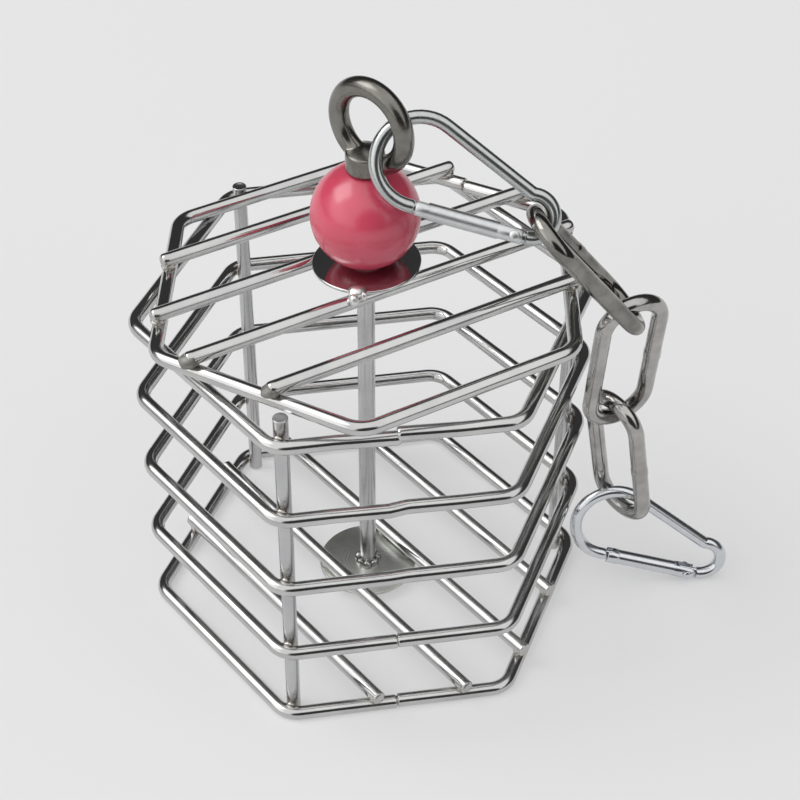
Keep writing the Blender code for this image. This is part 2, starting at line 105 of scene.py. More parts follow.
# Snap hooks
HOOK_WIRE = 0.003
HOOK_LENGTH = 0.0425
HOOK_WIDE_END = 0.0215
HOOK_NARROW_END = 0.0122
HOOK_SHOULDER = 0.0008
SHOULDER_RADIUS = 0.0020
NOSE_LENGTH = 0.0012
TONGUE_THICKNESS = 0.0014
TONGUE_WIDTH = 0.0026
NOSE_TONGUE_LENGTH = 0.0022
TAIL_TONGUE_LENGTH = 0.0046
GATE_DIAMETER = 0.0037
FORK_GAP = 0.0003
NOSE_GAP = 0.0003
GATE_HEEL_GAP = 0.0009
PIN_DIAMETER = 0.0012
PIN_HEAD_DIAMETER = 0.0022
PIN_HEAD_HEIGHT = 0.0005
PIN_HEAD_GAP = 0.0003
PIN_FROM_BOW = 0.0026
PIN_CROWN = (0.6, 0.5)          # flat top of a rivet's head, and its bevel, as parts of its radius and height
FLATTEN_RUN = HOOK_WIRE * 0.12  # wire over which an end is pressed flat
HALF_PRESSED = 0.9
CHEEK_OVERLAP = 0.0006          # of a fork's cheek on the gate's round bar

# Fineness of the meshes
WIRE_SIDES = 20
HOOK_SIDES = 24
LINK_SIDES = 28
FORK_SIDES = 32
EYE_SIDES = 32
RIVET_STEPS = 32
BEAD_STEPS = 60
WIRE_STEP = 0.0015              # between the loops of a straight wire
BEND_STEP = math.radians(7.5)
TURN_STEPS = 72
JOINT_STEPS = 14                # along the misfit of a ring's joint
MERGE_DISTANCE = WIRE * 0.001
BREAK_ANGLE = math.radians(40.0)        # edges sharper than this are rounded
SHADE_ANGLE = math.radians(50.0)        # edges sharper than this are shaded as edges

# Rounding of edges, and cut ends
CUT_EDGE = 0.00025              # of a cut wire
CUT_DISH = 0.00012              # hollow that the cutter leaves
MELTED_EDGE = 0.0009            # of an end that its weld has melted
TONGUE_EDGE = 0.0002
PLATE_EDGE = 0.0003
BEAD_EDGE = 0.00035
FORK_EDGE = 0.00018
RIVET_EDGE = 0.00008
FLOOR_WIRE_FLARE = 1.03         # ends spread by the cutter, in wire diameters
CORNER_ROD_FLARE = 1.05

# Lumps of weld, as half sizes in wire diameters: along the wire, across it, and upward
CROSSING_SIZE = (0.62, 0.5, 0.26)       # where a lid wire crosses its ring
SMEAR_SIZE = (0.80, 0.64, 0.58)         # the lid's two front left crossings, squashed and overheated
SMEAR_SHIFT = (-0.0008, 0.0, 0.0011)
FLOOR_WELD_SIZE = (0.55, 0.45, 0.25)    # where a floor wire crosses its ring
ROD_WELD_SIZE = (0.42, 0.44, 0.22)      # where a ring meets a corner rod
JOINT_WELD_SIZE = (0.3, 0.4, 0.4)       # at a ring's own ends
TACK_SIZE = (0.50, 0.36, 0.20)          # between the plates and their wires
FLOOR_TACK_PLACE = 0.45                 # of the plate's radius
LID_TACK_PLACE = 0.6                    # of the wire that the plate covers
DISC_WELD_ANGLE = math.radians(231.0)   # the one weld that shows on the lid's plate
DISC_WELD_LUMPS = (                     # its lumps: place, and size
    ((0.0002, 0.0001, 0.0003), (0.70, 0.56, 0.42)),
    ((-0.0013, -0.0011, -0.0006), (0.40, 0.44, 0.50)),
    ((0.0011, -0.0010, -0.0003), (0.32, 0.36, 0.36)))
FOOT_WELD_BEADS = 7                     # round the centre rod's foot
FOOT_WELD_SIZE = (0.40, 0.30, 0.36)
FOOT_WELD_OUT = WIRE * 0.14             # off the rod
FOOT_WELD_UP = WIRE * 0.16              # off the plate
LUMP_UNEVENNESS = 0.22
LUMP_WAVES = 1.7
LID_SEED = 100                          # the lid's lumps are numbered from here
HEAT_REACH = 0.0022                     # how far a weld colours the wire

# Finishes
STRAW = (0.40, 0.36, 0.30)              # colour that welding leaves
SPUN_RINGS = 2600.0                     # on a plate, to the metre
ZINC_CRYSTALS = 900.0                   # to the metre

# Camera, from the photograph's perspective
CAMERA_PLACE = (-0.04804, -0.32619, 0.34616)
CAMERA_HEADING = math.radians(-9.724)
CAMERA_ELEVATION = math.radians(41.336)
CAMERA_ROLL = math.radians(0.489)
CAMERA_LENS = 84.877
CAMERA_SENSOR = 36.0

# Studio: the room is bright toward its ceiling and its window, and dark round the camera and behind
CEILING_SIDE = (-0.25, -0.55, 0.80)
WINDOW_SIDE = (-0.97, -0.05, 0.24)
CAMERA_SIDE = (0.05, -0.97, 0.22)
CEILING_EDGE = (0.30, 0.48)     # where a side's brightness begins and is full, as the cosine off that side
WINDOW_EDGE = (0.80, 0.92)
CAMERA_EDGE = (0.80, 0.90)
HORIZON_EDGE = (0.0, 0.12)
CEILING_LEVEL = 1.1
WINDOW_LEVEL = 0.40
DARK_LEVEL = 0.05
LAMP_PLACE = (-1.48, 0.39, 1.81)
LAMP_SIZE = 1.35
LAMP_POWER = 14.5
FLOOR_RADIUS = 15.0
FLOOR_SIDES = 64
FLOOR_GLOW = (0.77, 0.77, 0.775, 1.0)   # fills the floor's shadows, as the camera and polished metal see it
FLOOR_FILL = 0.5

SQRT3 = math.sqrt(3.0)
QUARTER = math.radians(90.0)
SIXTH = math.radians(60.0)
UP = Vector((0.0, 0.0, 1.0))


class Signal:
    """A shader socket. Arithmetic on it adds Math nodes, and node() adds any other node."""

    def __init__(self, tree, socket=None):
        self.tree = tree
        self.socket = socket

    def node(self, kind, settings=None, inputs=None, output=0):
        """Add a node: its settings first, then the values or links of its sockets."""
        made = self.tree.nodes.new(kind)
        for key, value in (settings or {}).items():
            setattr(made, key, value)
        for key, value in (inputs or {}).items():
            if isinstance(value, Signal):
                self.tree.links.new(value.socket, made.inputs[key])
            else:
                made.inputs[key].default_value = value
        return Signal(self.tree, made.outputs[output])

    def math(self, operation, *values):
        """A Math node on this socket and other values."""
        return self.node("ShaderNodeMath", {"operation": operation}, dict(enumerate((self, *values))))

    def __add__(self, other):
        return self.math("ADD", other)

    def __radd__(self, other):
        return self.math("ADD", other)

    def __sub__(self, other):
        return self.math("SUBTRACT", other)

    def __rsub__(self, other):
        return self.node("ShaderNodeMath", {"operation": "SUBTRACT"}, {0: other, 1: self})

    def __mul__(self, other):
        return self.math("MULTIPLY", other)

    def __rmul__(self, other):
        return self.math("MULTIPLY", other)

    def between(self, low, high):
        """0 below low, 1 above high, smooth between them."""
        return self.node("ShaderNodeMapRange", {"interpolation_type": "SMOOTHSTEP"},
                         {"Value": self, "From Min": low, "From Max": high})

    def tint(self, first, second):
        """Mix two colours by this value. A colour may be a plain triple or another socket."""
        ready = [c if isinstance(c, Signal) else (*c, 1.0) for c in (first, second)]
        return self.node("ShaderNodeMix", {"data_type": "RGBA"},
                         {"Factor": self, 6: ready[0], 7: ready[1]}, output=2)


class Finish:
    """A material being built round a Principled shader, with its pattern in Object coordinates."""

    def __init__(self, name, metallic=0.0, **constants):
        self.material = bpy.data.materials.new(name)
        self.material.use_nodes = True
        tree = self.material.node_tree
        self.shader = tree.nodes["Principled BSDF"]
        self.shader.inputs["Metallic"].default_value = metallic
        for socket, value in constants.items():
            self.shader.inputs[socket.replace("_", " ")].default_value = value
        self.pen = Signal(tree)
        self.place = self.pen.node("ShaderNodeTexCoord", output="Object")

    def set(self, socket, signal):
        """Feed one socket of the shader."""
        self.pen.tree.links.new(signal.socket, self.shader.inputs[socket])

    def mottle(self, size, detail=3.0, stretch=(1.0, 1.0, 1.0), centre=(0.0, 0.0, 0.0)):
        """Soft noise from 0 to 1 with blotches of about this size, in metres."""
        vector = self.spot(centre, stretch)
        return self.pen.node("ShaderNodeTexNoise", {},
                             {"Vector": vector, "Scale": 1.0 / size, "Detail": detail})

    def spot(self, centre, stretch=(1.0, 1.0, 1.0)):
        """Coordinates measured from a point of the object, and stretched."""
        offset = self.pen.node("ShaderNodeVectorMath", {"operation": "SUBTRACT"}, {0: self.place, 1: centre})
        return self.pen.node("ShaderNodeMapping", {"vector_type": "POINT"},
                             {"Vector": offset, "Scale": stretch})

    def weld_heat(self):
        """How much welding has coloured the wire here, from the piece's own attribute."""
        return self.pen.node("ShaderNodeAttribute", {"attribute_name": "weld_heat"}, output="Fac")

    def relief(self, height, depth):
        """Bump of a given depth, in metres."""
        bump = self.pen.node("ShaderNodeBump", {}, {"Height": height, "Distance": depth, "Strength": 1.0})
        self.set("Normal", bump)


def drawn_steel(name, light, dark, gloss, rough):
    """Polished stainless wire: faint clouding, fine scuffs, and straw colour beside its welds."""
    finish = Finish(name, metallic=1.0)
    cloud = finish.mottle(0.009).between(0.3, 0.7)
    scuff = finish.mottle(0.0007, detail=5.0)
    heat = finish.weld_heat()
    finish.set("Base Color", (heat * 0.5).tint(cloud.tint(light, dark), STRAW))
    finish.set("Roughness", gloss + (rough - gloss) * scuff + 0.12 * heat)
    finish.relief(scuff, 0.000008)
    return finish.material


def rolled_plate(name, light, dark, gloss, rough, centre):
    """Punched sheet: fine spun rings about its centre, and faint clouding."""
    finish = Finish(name, metallic=1.0)
    flat = finish.spot(centre, stretch=(1.0, 1.0, 0.0))
    radius = finish.pen.node("ShaderNodeVectorMath", {"operation": "LENGTH"}, {0: flat}, output="Value")
    rings = finish.pen.node("ShaderNodeTexNoise", {"noise_dimensions": "1D"},
                            {"W": radius, "Scale": SPUN_RINGS, "Detail": 3.0})
    cloud = finish.mottle(0.006).between(0.35, 0.7)
    finish.set("Base Color", cloud.tint(light, dark))
    finish.set("Roughness", gloss + (rough - gloss) * rings + 0.08 * cloud)
    finish.relief(rings, 0.000004)
    return finish.material


def weld_metal(name, light, dark, gloss):
    """Frozen weld: rippled and clouded."""
    finish = Finish(name, metallic=1.0)
    cloud = finish.mottle(0.0016, detail=4.0).between(0.35, 0.65)
    ripple = finish.mottle(0.0006, detail=4.0)
    finish.set("Base Color", cloud.tint(light, dark))
    finish.set("Roughness", gloss + 0.20 * ripple)
    finish.relief(ripple, 0.00006)
    return finish.material


def tumbled_steel(name, light, dark, gloss, rough):
    """Darker steel of the chain and the eye: tumbled smooth, clouded, with faint dings and a brown cast."""
    finish = Finish(name, metallic=1.0)
    cloud = finish.mottle(0.004).between(0.3, 0.72)
    dings = finish.mottle(0.0016, detail=3.0)
    finish.set("Base Color", cloud.tint(light, dark))
    finish.set("Roughness", gloss + (rough - gloss) * cloud)
    finish.relief(dings, 0.00003)
    return finish.material


def zinc_plate(name, light, dark, gloss):
    """Zinc plating with faint crystals."""
    finish = Finish(name, metallic=1.0)
    crystal = finish.pen.node("ShaderNodeTexVoronoi", {"feature": "F1"},
                              {"Vector": finish.place, "Scale": ZINC_CRYSTALS}, output="Color")
    grain = finish.pen.node("ShaderNodeSeparateColor", {}, {"Color": crystal})
    scuff = finish.mottle(0.0016, detail=2.0)
    finish.set("Base Color", grain.tint(light, dark))
    finish.set("Roughness", gloss + 0.08 * scuff + 0.02 * grain)
    finish.relief(scuff, 0.000004)
    return finish.material


def spring_steel():
    """Oiled steel of the gate springs."""
    finish = Finish("spring_steel", metallic=1.0)
    cloud = finish.mottle(0.0012)
    finish.set("Base Color", cloud.tint((0.52, 0.51, 0.49), (0.36, 0.35, 0.34)))
    finish.set("Roughness", 0.22 + 0.2 * cloud)
    return finish.material


def moulded_plastic(centre):
    """Glossy pink bead: slow swirls of pigment, a moulding line at its middle and fine handling marks."""
    finish = Finish("moulded_plastic", IOR=1.72)
    swirl = finish.mottle(0.014, detail=2.0, centre=centre, stretch=(1.0, 1.0, 2.2)).between(0.3, 0.7)
    marks = finish.mottle(0.0012, detail=6.0)
    finish.set("Base Color", swirl.tint((0.69, 0.076, 0.136), (0.63, 0.064, 0.115)))
    finish.set("Roughness", 0.20 + 0.06 * marks)
    height = finish.pen.node("ShaderNodeSeparateXYZ", {}, {"Vector": finish.spot(centre)}, output="Z")
    line = 1.0 - height.math("ABSOLUTE").between(0.00008, 0.00025)
    finish.relief(marks * 0.15 + line * 0.6, 0.00003)
    return finish.material


def pale_floor():
    """Matt pale grey studio floor. Its shadows are filled a little, as in a bright room."""
    finish = Finish("pale_floor", Roughness=0.9, Specular_IOR_Level=0.1)
    cloud = finish.mottle(0.3, detail=1.0)
    finish.set("Base Color", cloud.tint((0.88, 0.88, 0.885), (0.87, 0.87, 0.875)))
    pen = finish.pen
    seen = (pen.node("ShaderNodeLightPath", output="Is Camera Ray")
            + pen.node("ShaderNodeLightPath", output="Is Glossy Ray"))
    glow = pen.node("ShaderNodeEmission", {}, {"Color": FLOOR_GLOW})
    lit = Signal(pen.tree, finish.shader.outputs[0])
    mixed = pen.node("ShaderNodeMixShader", {}, {0: seen * FLOOR_FILL, 1: lit, 2: glow})
    pen.tree.links.new(mixed.socket, pen.tree.nodes["Material Output"].inputs["Surface"])
    return finish.material


class BentWire:
    """Round wire made as a former makes it: from a cut end, straight on and bent, along its own X."""

    def __init__(self, diameter, start, sides=WIRE_SIDES):
        self.shape = bmesh.new()
        self.tip = start.copy()
        self.width = 1.0
        self.height = 1.0
        made = bmesh.ops.create_circle(self.shape, segments=sides, radius=diameter / 2,
                                       matrix=self.tip @ Matrix.Rotation(QUARTER, 4, "Y"))
        self.start = self.loop_edges(made["verts"])
        self.end = self.start

    @staticmethod
    def loop_edges(verts):
        """Edges that join these vertices, each once."""
        own = set(verts)
        touching = dict.fromkeys(edge for vert in verts for edge in vert.link_edges)
        return [edge for edge in touching if set(edge.verts) <= own]

    @staticmethod
    def loop_verts(edges):
        """Vertices of these edges, each once."""
        return list(dict.fromkeys(vert for edge in edges for vert in edge.verts))

    def step(self, length):
        """Draw the end out straight by one step."""
        made = bmesh.ops.extrude_edge_only(self.shape, edges=self.end)["geom"]
        verts = [item for item in made if isinstance(item, bmesh.types.BMVert)]
        bmesh.ops.translate(self.shape, vec=self.tip.to_3x3() @ Vector((length, 0, 0)), verts=verts)
        self.end = self.loop_edges(verts)
        self.tip = self.tip @ Matrix.Translation((length, 0, 0))
        return self

    def straight(self, length):
        """Straight wire, with loops close enough for weld colours to show."""
        count = max(1, math.ceil(length / WIRE_STEP))
        for _ in range(count):
            self.step(length / count)
        return self

    def bend(self, radius, angle):
        """Bend about the wire's own Z, to its left for a positive angle."""
        side = math.copysign(radius, angle)
        verts = self.loop_verts(self.end)
        made = bmesh.ops.spin(self.shape, geom=verts + self.end, cent=self.tip @ Vector((0, side, 0)),
                              axis=self.tip.to_3x3() @ Vector((0, 0, 1)), angle=angle,
                              steps=max(2, math.ceil(abs(angle) / BEND_STEP)))
        self.end = [item for item in made["geom_last"] if isinstance(item, bmesh.types.BMEdge)]
        self.tip = (self.tip @ Matrix.Translation((0, side, 0)) @ Matrix.Rotation(angle, 4, "Z")
                    @ Matrix.Translation((0, -side, 0)))
        return self

    def press(self, width, height):
        """Press the end's section to a width and a height, as parts of the wire's diameter."""
        bmesh.ops.scale(self.shape, vec=(1.0, width / self.width, height / self.height),
                        space=self.tip.inverted(), verts=self.loop_verts(self.end))
        self.width = width
        self.height = height
        return self

    def shift(self, offset):
        """Move the end sideways, in the wire's own frame."""
        bmesh.ops.translate(self.shape, vec=self.tip.to_3x3() @ Vector(offset),
                            verts=self.loop_verts(self.end))
        self.tip = self.tip @ Matrix.Translation(offset)
        return self

    def cut(self, edge=CUT_EDGE):
        """Close both ends, break their edges and leave their faces a little hollow."""
        rims = self.start + self.end
        bmesh.ops.holes_fill(self.shape, edges=rims, sides=0)
        bmesh.ops.bevel(self.shape, geom=rims, offset=edge, segments=3, profile=0.5, affect="EDGES",
                        material=-1)
        bmesh.ops.recalc_face_normals(self.shape, faces=self.shape.faces)
        caps = [face for face in self.shape.faces if len(face.verts) > 4]
        bmesh.ops.inset_region(self.shape, faces=caps, thickness=CUT_EDGE, depth=-CUT_DISH)
        return self.shape

    def join(self):
        """Close the wire on its own start."""
        bmesh.ops.remove_doubles(self.shape, verts=self.shape.verts, dist=MERGE_DISTANCE)
        return self.shape


def turned(profile, steps=TURN_STEPS, closed=True):
    """Solid turned about Z from a few (radius, height) corners, joined to a closed section."""
    shape = bmesh.new()
    verts = [shape.verts.new((radius, 0.0, height)) for radius, height in profile]
    edges = [shape.edges.new(pair) for pair in zip(verts, verts[1:])]
    if closed:
        edges.append(shape.edges.new((verts[-1], verts[0])))
    bmesh.ops.spin(shape, geom=verts + edges, cent=(0, 0, 0), axis=(0, 0, 1), angle=math.tau, steps=steps,
                   use_merge=True)
    bmesh.ops.remove_doubles(shape, verts=shape.verts, dist=MERGE_DISTANCE)
    return shape


def break_edges(shape, radius, segments=3):
    """Round every sharp edge."""
    bmesh.ops.recalc_face_normals(shape, faces=shape.faces)
    sharp = [e for e in shape.edges if len(e.link_faces) == 2 and e.calc_face_angle() > BREAK_ANGLE]
    bmesh.ops.bevel(shape, geom=sharp, offset=radius, segments=segments, profile=0.5, affect="EDGES",
                    material=-1)
    return shape


def moved(shape, matrix):
    """Put a whole bmesh in its place."""
    bmesh.ops.transform(shape, matrix=matrix, verts=shape.verts)
    return shape


def joined(shapes):
    """One bmesh that holds several closed shells."""
    whole = bmesh.new()
    for shape in shapes:
        part = bpy.data.meshes.new("part")
        shape.to_mesh(part)
        shape.free()
        whole.from_mesh(part)
        bpy.data.meshes.remove(part)
    return whole


def add_piece(name, shape, finish, body, nodes=(), welds=()):
    """Make a piece of a bmesh: smooth shading, material, weld colours, and the body that carries it."""
    bmesh.ops.recalc_face_normals(shape, faces=shape.faces)
    mesh = bpy.data.meshes.new(name)
    shape.to_mesh(mesh)
    shape.free()
    mesh.shade_smooth()
    mesh.set_sharp_from_angle(angle=SHADE_ANGLE)
    mesh.materials.append(finish)
    if welds:
        points = np.empty(len(mesh.vertices) * 3)
        mesh.vertices.foreach_get("co", points)
        away = points.reshape(-1, 1, 3) - np.array([tuple(w) for w in welds])
        heat = np.exp(-(away ** 2).sum(axis=2) / HEAT_REACH ** 2).max(axis=1)
        mesh.attributes.new("weld_heat", "FLOAT", "POINT").data.foreach_set("value", heat)
    item = bpy.data.objects.new(name, mesh)
    bpy.context.scene.collection.objects.link(item)
    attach(item, body)
    if nodes:
        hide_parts(*nodes)
    return item


def axes_of(node):
    """Centre of a CAD node and its long, middle and short axes, as a placing matrix."""
    mesh = frame["nodes"][node].data
    points = np.empty(len(mesh.vertices) * 3)
    mesh.vertices.foreach_get("co", points)
    points = points.reshape(-1, 3)
    _, axes = np.linalg.eigh(np.cov(points.T))
    along = Vector(axes[:, 2])
    short = Vector(axes[:, 0])
    across = short.cross(along)
    turn = Matrix((along, across, short)).transposed()
    local = points @ np.array(turn)
    middle = turn @ Vector((local.min(axis=0) + local.max(axis=0)) / 2)
    return Matrix.Translation(middle) @ turn.to_4x4()


def middle_of(node):
    """Centre of a CAD node's box."""
    low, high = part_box(node)
    return (Vector(low) + Vector(high)) / 2


def polar(radius, angle, z=0.0):
    """Point at a radius and an angle about Z."""
    return Vector((radius * math.cos(angle), radius * math.sin(angle), z))


def weld_nugget(place, along, up, size, seed):
    """Frozen lump of weld metal, uneven and rounded, pressed between two wires. Each seed gives another."""
    shape = bmesh.new()
    bmesh.ops.create_icosphere(shape, subdivisions=3, radius=1.0)
    drift = Vector((seed * 3.1, seed * 1.7, 0.0))
    for vert in shape.verts:
        vert.co *= 1.0 + LUMP_UNEVENNESS * noise.noise(vert.co * LUMP_WAVES + drift)
    bmesh.ops.smooth_vert(shape, verts=shape.verts, factor=0.5, use_axis_x=True, use_axis_y=True,
                          use_axis_z=True)
    across = up.cross(along).normalized()
    turn = Matrix((along.normalized(), across, along.normalized().cross(across))).transposed()
    bmesh.ops.scale(shape, vec=Vector(size) * WIRE, verts=shape.verts)
    return moved(shape, Matrix.Translation(place) @ turn.to_4x4())


def bent_ring(across_flats, misfit, gap):
    """Hexagonal ring bent from one wire. Its ends meet at the middle of the side on -Y.

    The ends miss each other in height by the misfit. They lap where the gap is negative, and are fused
    where it is zero."""
    inset = BEND_RADIUS * math.tan(SIXTH / 2)
    side = across_flats / SQRT3 - 2 * inset

    def rise(distance):
        fused = 1.0 if gap else min(1.0, distance / JOINT_BLEND)
        return misfit / 2 * fused * (1.0 - distance / JOINT_RUN)

    places = [JOINT_RUN * i / JOINT_STEPS for i in range(JOINT_STEPS + 1)]
    wire = BentWire(DRAWN_WIRE, Matrix.Translation((gap / 2, -across_flats / 2, rise(0.0))))
    for near, far in zip(places, places[1:]):
        wire.step(far - near).shift((0.0, 0.0, rise(far) - rise(near)))
    wire.straight(side / 2 - JOINT_RUN - gap / 2)
    for corner in range(RING_CORNERS):
        wire.bend(BEND_RADIUS, SIXTH)
        if corner < RING_CORNERS - 1:
            wire.straight(side)
    wire.straight(side / 2 - JOINT_RUN - gap / 2)
    for near, far in zip(places, places[1:]):
        ahead = rise(JOINT_RUN - far)
        behind = rise(JOINT_RUN - near)
        wire.step(far - near).shift((0.0, 0.0, behind - ahead))
    if not gap:
        return wire.join()
    return wire.cut(MELTED_EDGE if gap < 0 else CUT_EDGE)


def straight_wire(start, end, diameter=DRAWN_WIRE, flare=1.0, edge=CUT_EDGE):
    """Straight wire between two points, its ends slightly spread by the cutter."""
    along = (end - start).normalized()
    side = along.orthogonal().normalized()
    turn = Matrix((along, side, along.cross(side))).transposed()
    wire = BentWire(diameter, Matrix.Translation(start) @ turn.to_4x4())
    wire.press(flare, flare)
    wire.step(edge * 2)
    wire.press(1.0, 1.0)
    wire.straight((end - start).length - 4 * edge)
    wire.step(edge * 2)
    wire.press(flare, flare)
    return wire.cut(edge)


def grid_places(across_flats):
    """Offset and half length of each parallel wire across a ring."""
    spacing = across_flats / (GRID_WIRE_COUNT + 1)
    for i in range(GRID_WIRE_COUNT):
        offset = (i - (GRID_WIRE_COUNT - 1) / 2) * spacing
        yield offset, (across_flats + WIRE) / SQRT3 - abs(offset) / SQRT3


def build_basket(steel, rod_steel, plate, weld):
    """Rings, corner rods, floor wires, floor plate, centre rod and their welds."""
    inward = BEND_RADIUS * (2 / SQRT3 - 1)
    corner = ACROSS_FLATS / SQRT3 - inward
    rod_radius = corner - WIRE - WELD_GAP
    ring_heights = [middle_of(f"basket_ring_{i + 1}").z for i in range(len(RING_JOINTS))]
    lumps = []
    rod_welds = {name: [polar((corner + rod_radius) / 2, angle, z) for z in ring_heights]
                 for name, angle in CORNER_ROD_ANGLES.items()}
    seed = 0
    for name, angle in CORNER_ROD_ANGLES.items():
        for spot in rod_welds[name]:
            seed += 1
            lumps.append(weld_nugget(spot, UP, polar(1.0, angle), ROD_WELD_SIZE, seed))
    floor_z = middle_of("floor_wire_1").z
    turn = Matrix.Rotation(FLOOR_WIRE_TURN, 4, "Z")
    along = turn.to_3x3() @ Vector((1, 0, 0))
    floor_welds = []
    for i, (offset, half) in enumerate(grid_places(ACROSS_FLATS)):
        ends = [turn @ Vector((side * half, offset, floor_z)) for side in (-1, 1)]
        crossing = half - WIRE / SQRT3
        inner = [turn @ Vector((side * crossing, offset, floor_z - WIRE / 2)) for side in (-1, 1)]
        for spot in inner:
            seed += 1
            lumps.append(weld_nugget(spot, along, UP, FLOOR_WELD_SIZE, seed))
        floor_welds += inner
        wire = straight_wire(ends[0], ends[1], flare=FLOOR_WIRE_FLARE)
        add_piece(f"floor_cross_wire_{i + 1}", wire, steel, "basket",
                  [f"floor_wire_{i + 1}"], inner)
    for i, z in enumerate(ring_heights):
        ring = moved(bent_ring(ACROSS_FLATS, *RING_JOINTS[i]), Matrix.Translation((0, 0, z)))
        joint = Vector((0, -ACROSS_FLATS / 2, z))
        seed += 1
        lumps.append(weld_nugget(joint, Vector((1, 0, 0)), UP, JOINT_WELD_SIZE, seed))
        near = [spots[i] for spots in rod_welds.values()]
        if i == len(ring_heights) - 1:
            near += floor_welds
        add_piece(f"bent_ring_{i + 1}", ring, steel, "basket",
                  [f"basket_ring_{i + 1}"], near)
    for name, angle in CORNER_ROD_ANGLES.items():
        low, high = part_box(name)
        rod = straight_wire(polar(rod_radius, angle, low[2]), polar(rod_radius, angle, high[2]),
                            flare=CORNER_ROD_FLARE)
        add_piece(name.replace("corner_rod", "upright"), rod, rod_steel, "basket",
                  [name], rod_welds[name])
    build_floor_plate(plate, weld, lumps, seed)
    low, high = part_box("centre_rod")
    foot = Vector((0, 0, low[2]))
    spindle = straight_wire(foot, Vector((0, 0, high[2] - ROD_END_GAP)), SPINDLE_DIAMETER)
    add_piece("spindle", spindle, rod_steel, "basket", ["centre_rod"], [foot])
    add_piece("basket_welds", joined(lumps), weld["plain"], "basket")


def build_floor_plate(plate, weld, lumps, seed):
    """Round plate under the floor wires, with the ring of weld that holds the centre rod."""
    low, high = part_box("floor_plate")
    bottom = low[2]
    top = high[2]
    edge = PLATE_DIAMETER / 2
    disc = turned([(0, top), (edge, top), (edge, bottom), (0, bottom)], closed=False)
    add_piece("floor_disc", break_edges(disc, PLATE_EDGE), plate, "basket",
              ["floor_plate"])
    turn = Matrix.Rotation(FLOOR_WIRE_TURN, 4, "Z")
    along = turn.to_3x3() @ Vector((1, 0, 0))
    for offset, _ in list(grid_places(ACROSS_FLATS))[MIDDLE_WIRES]:
        for side in (-1, 1):
            seed += 1
            spot = turn @ Vector((side * edge * FLOOR_TACK_PLACE, offset, top + WELD_GAP / 2))
            lumps.append(weld_nugget(spot, along, UP, TACK_SIZE, seed))
    foot = []
    for i in range(FOOT_WELD_BEADS):
        angle = math.tau * i / FOOT_WELD_BEADS
        spot = polar(SPINDLE_DIAMETER / 2 + FOOT_WELD_OUT, angle, top + FOOT_WELD_UP)
        foot.append(weld_nugget(spot, polar(1.0, angle + QUARTER), UP, FOOT_WELD_SIZE, seed + i))
    add_piece("rod_foot_weld", joined(foot), weld["glossy"], "basket")


def build_lid(steel, plate, weld):
    """Ring, cross wires and drilled plate of the lid, in the tilted frame in which it lies."""
    ring_frame = axes_of("lid_ring")
    normal = ring_frame.to_3x3() @ UP
    if normal.z < 0:
        normal.negate()
    along = axes_of("lid_wire_2").to_3x3() @ Vector((1, 0, 0))
    if along.x < 0:
        along.negate()
    across = normal.cross(along)
    place = (Matrix.Translation(ring_frame.translation)
             @ Matrix((along, across, normal)).transposed().to_4x4())
    cross_height = WIRE + WELD_GAP
    lumps = []
    smears = []
    welds = []
    seed = LID_SEED
    for i, (offset, half) in enumerate(grid_places(LID_ACROSS_FLATS)):
        crossing = half - WIRE / SQRT3
        inner = [place @ Vector((side * crossing, offset, cross_height - WIRE / 2)) for side in (-1, 1)]
        for side, spot in zip((-1, 1), inner):
            seed += 1
            if offset < 0 and side < 0:
                shifted = spot + place.to_3x3() @ Vector(SMEAR_SHIFT)
                smears.append(weld_nugget(shifted, along, normal, SMEAR_SIZE, seed))
            else:
                lumps.append(weld_nugget(spot, along, normal, CROSSING_SIZE, seed))
        welds += inner
        cross = straight_wire(place @ Vector((-half, offset, cross_height)),
                              place @ Vector((half, offset, cross_height)), edge=MELTED_EDGE)
        add_piece(f"lid_cross_wire_{i + 1}", cross, steel, "lid",
                  [f"lid_wire_{i + 1}"], inner)
    joint_frame = place @ Matrix.Rotation(LID_JOINT_TURN, 4, "Z")
    joint = joint_frame @ Vector((0, -LID_ACROSS_FLATS / 2, 0))
    joint_along = joint_frame.to_3x3() @ Vector((1, 0, 0))
    lumps.append(weld_nugget(joint, joint_along, normal, JOINT_WELD_SIZE, seed + 1))
    ring = moved(bent_ring(LID_ACROSS_FLATS, *LID_JOINT), joint_frame)
    add_piece("lid_bent_ring", ring, steel, "lid", ["lid_ring"], welds + [joint])
    bottom = cross_height + WIRE / 2 + WELD_GAP
    top = bottom + PLATE_THICKNESS
    edge = PLATE_DIAMETER / 2
    hole = LID_HOLE_DIAMETER / 2
    disc = break_edges(turned([(hole, top), (edge, top), (edge, bottom), (hole, bottom)]), PLATE_EDGE)
    add_piece("lid_disc", moved(disc, place), plate, "lid", ["lid_plate"])
    for offset, _ in list(grid_places(LID_ACROSS_FLATS))[MIDDLE_WIRES]:
        reach = math.sqrt(edge ** 2 - offset ** 2)
        for side in (-1, 1):
            seed += 1
            spot = place @ Vector((side * reach * LID_TACK_PLACE, offset, bottom - WELD_GAP / 2))
            lumps.append(weld_nugget(spot, along, normal, TACK_SIZE, seed))
    add_piece("lid_welds", joined(lumps), weld["plain"], "lid")
    add_piece("lid_weld_smears", joined(smears), weld["overheated"], "lid")
    spot = polar(edge, DISC_WELD_ANGLE, bottom + PLATE_THICKNESS / 2)
    blob = [weld_nugget(place @ (spot + Vector(offset)), along, normal, size, seed + i)
            for i, (offset, size) in enumerate(DISC_WELD_LUMPS)]
    add_piece("lid_disc_weld", joined(blob), weld["bright"], "lid")


